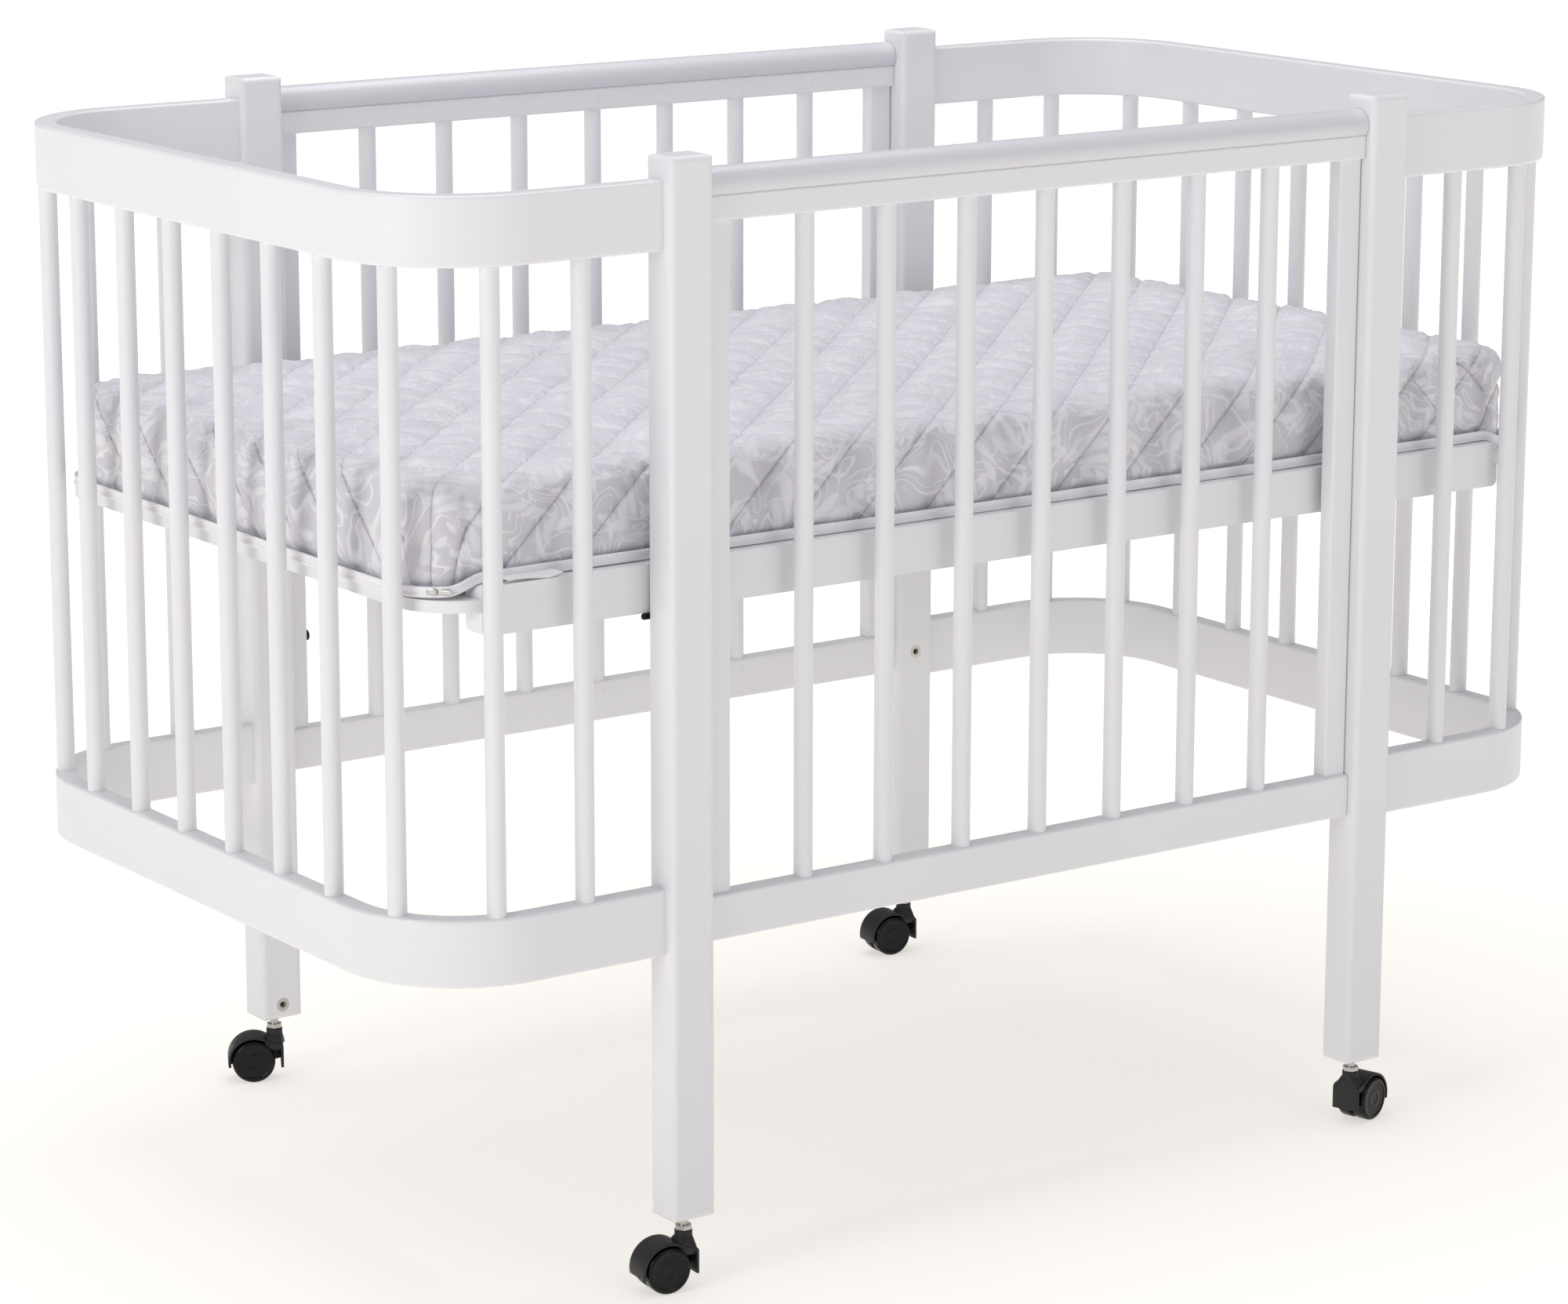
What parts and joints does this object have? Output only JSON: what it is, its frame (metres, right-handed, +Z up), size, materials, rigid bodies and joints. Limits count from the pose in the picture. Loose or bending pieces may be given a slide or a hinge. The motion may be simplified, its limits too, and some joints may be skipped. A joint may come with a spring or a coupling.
{
  "type": "baby crib",
  "caption": "White wooden crib with bent rounded ends, round spindles, capped side rails, a bolted base with a quilted mattress, and twin-wheel swivel casters.",
  "frame": {"origin": "on the floor, under the middle of the crib", "axes": "+X along the crib to its right end seen from the front, +Y from the front side to the back side, +Z up"},
  "size_m": [1.252, 0.7313, 0.942],
  "materials": {
    "white_paint": "satin white paint on beech",
    "cap_plastic": "smooth satin",
    "beech": "bare",
    "zinc": "zinc plated",
    "dark_steel": "black oxide",
    "hood_plastic": "fine moulded grain",
    "wheel_plastic": "smooth moulded",
    "quilted_cover": "quilted jacquard",
    "mattress_foam": "open-cell foam",
    "zip_tape": "woven tape",
    "tag_fabric": "satin weave"
  },
  "bodies": {
    "frame": {"post_front_left": "white_paint", "post_front_right": "white_paint", "post_back_left": "white_paint", "post_back_right": "white_paint", "end_top_rail_left": "white_paint", "end_top_rail_right": "white_paint", "end_bottom_rail_left": "white_paint", "end_bottom_rail_right": "white_paint", "end_spindles_left": "white_paint", "end_spindles_right": "white_paint", "side_top_rail_front": "white_paint", "side_top_rail_back": "white_paint", "side_rail_cap_front": "cap_plastic", "side_rail_cap_back": "cap_plastic", "side_bottom_rail_front": "white_paint", "side_bottom_rail_back": "white_paint", "side_stile_front_left": "white_paint", "side_stile_front_right": "white_paint", "side_stile_back_left": "white_paint", "side_stile_back_right": "white_paint", "side_spindles_front": "white_paint", "side_spindles_back": "white_paint", "base_side_rail_front": "white_paint", "base_side_rail_back": "white_paint", "base_end_board_left": "white_paint", "base_end_board_right": "white_paint", "base_slats": "white_paint", "base_plates": "dark_steel", "base_bolts": "dark_steel", "base_inserts": "zinc", "panel_bolts": "dark_steel", "panel_inserts": "zinc", "rail_dowels": "beech", "caster_inserts": "zinc", "caster_stems": "zinc"},
    "caster_front_left": {"caster_hood_front_left": "hood_plastic", "caster_axle_front_left": "zinc"},
    "wheel_front_left_a": {"caster_wheel_front_left_a": "wheel_plastic"},
    "wheel_front_left_b": {"caster_wheel_front_left_b": "wheel_plastic"},
    "caster_front_right": {"caster_hood_front_right": "hood_plastic", "caster_axle_front_right": "zinc"},
    "wheel_front_right_a": {"caster_wheel_front_right_a": "wheel_plastic"},
    "wheel_front_right_b": {"caster_wheel_front_right_b": "wheel_plastic"},
    "caster_back_left": {"caster_hood_back_left": "hood_plastic", "caster_axle_back_left": "zinc"},
    "wheel_back_left_a": {"caster_wheel_back_left_a": "wheel_plastic"},
    "wheel_back_left_b": {"caster_wheel_back_left_b": "wheel_plastic"},
    "caster_back_right": {"caster_hood_back_right": "hood_plastic", "caster_axle_back_right": "zinc"},
    "wheel_back_right_a": {"caster_wheel_back_right_a": "wheel_plastic"},
    "wheel_back_right_b": {"caster_wheel_back_right_b": "wheel_plastic"},
    "mattress": {"mattress_cover": "quilted_cover", "mattress_cover_base": "quilted_cover", "mattress_core": "mattress_foam", "mattress_zip_band": "zip_tape", "mattress_tag": "tag_fabric"}
  },
  "joints": [
    {"name": "swivel_front_left", "type": "hinge", "parent": "frame", "child": "caster_front_left", "pos_m": [-0.369, -0.3405, 0.05], "axis": [0, 0, 1], "continuous": true},
    {"name": "swivel_front_right", "type": "hinge", "parent": "frame", "child": "caster_front_right", "pos_m": [0.369, -0.3405, 0.05], "axis": [0, 0, 1], "continuous": true},
    {"name": "swivel_back_left", "type": "hinge", "parent": "frame", "child": "caster_back_left", "pos_m": [-0.369, 0.3405, 0.05], "axis": [0, 0, 1], "continuous": true},
    {"name": "swivel_back_right", "type": "hinge", "parent": "frame", "child": "caster_back_right", "pos_m": [0.369, 0.3405, 0.05], "axis": [0, 0, 1], "continuous": true},
    {"name": "spin_front_left_a", "type": "hinge", "parent": "caster_front_left", "child": "wheel_front_left_a", "pos_m": [-0.38889, -0.33841, 0.02], "axis": [-0.1045, -0.9945, 0], "continuous": true},
    {"name": "spin_front_left_b", "type": "hinge", "parent": "caster_front_left", "child": "wheel_front_left_b", "pos_m": [-0.38889, -0.33841, 0.02], "axis": [-0.1045, -0.9945, 0], "continuous": true},
    {"name": "spin_front_right_a", "type": "hinge", "parent": "caster_front_right", "child": "wheel_front_right_a", "pos_m": [0.38822, -0.33499, 0.02], "axis": [-0.2756, 0.9613, 0], "continuous": true},
    {"name": "spin_front_right_b", "type": "hinge", "parent": "caster_front_right", "child": "wheel_front_right_b", "pos_m": [0.38822, -0.33499, 0.02], "axis": [-0.2756, 0.9613, 0], "continuous": true},
    {"name": "spin_back_left_a", "type": "hinge", "parent": "caster_back_left", "child": "wheel_back_left_a", "pos_m": [-0.38666, 0.34989, 0.02], "axis": [-0.4695, -0.8829, 0], "continuous": true},
    {"name": "spin_back_left_b", "type": "hinge", "parent": "caster_back_left", "child": "wheel_back_left_b", "pos_m": [-0.38666, 0.34989, 0.02], "axis": [-0.4695, -0.8829, 0], "continuous": true},
    {"name": "spin_back_right_a", "type": "hinge", "parent": "caster_back_right", "child": "wheel_back_right_a", "pos_m": [0.34911, 0.34259, 0.02], "axis": [-0.1045, -0.9945, 0], "continuous": true},
    {"name": "spin_back_right_b", "type": "hinge", "parent": "caster_back_right", "child": "wheel_back_right_b", "pos_m": [0.34911, 0.34259, 0.02], "axis": [-0.1045, -0.9945, 0], "continuous": true},
    {"name": "mattress_lift", "type": "slide", "parent": "frame", "child": "mattress", "axis": [0, 0, 1], "range_m": [0, 0.4]}
  ]
}
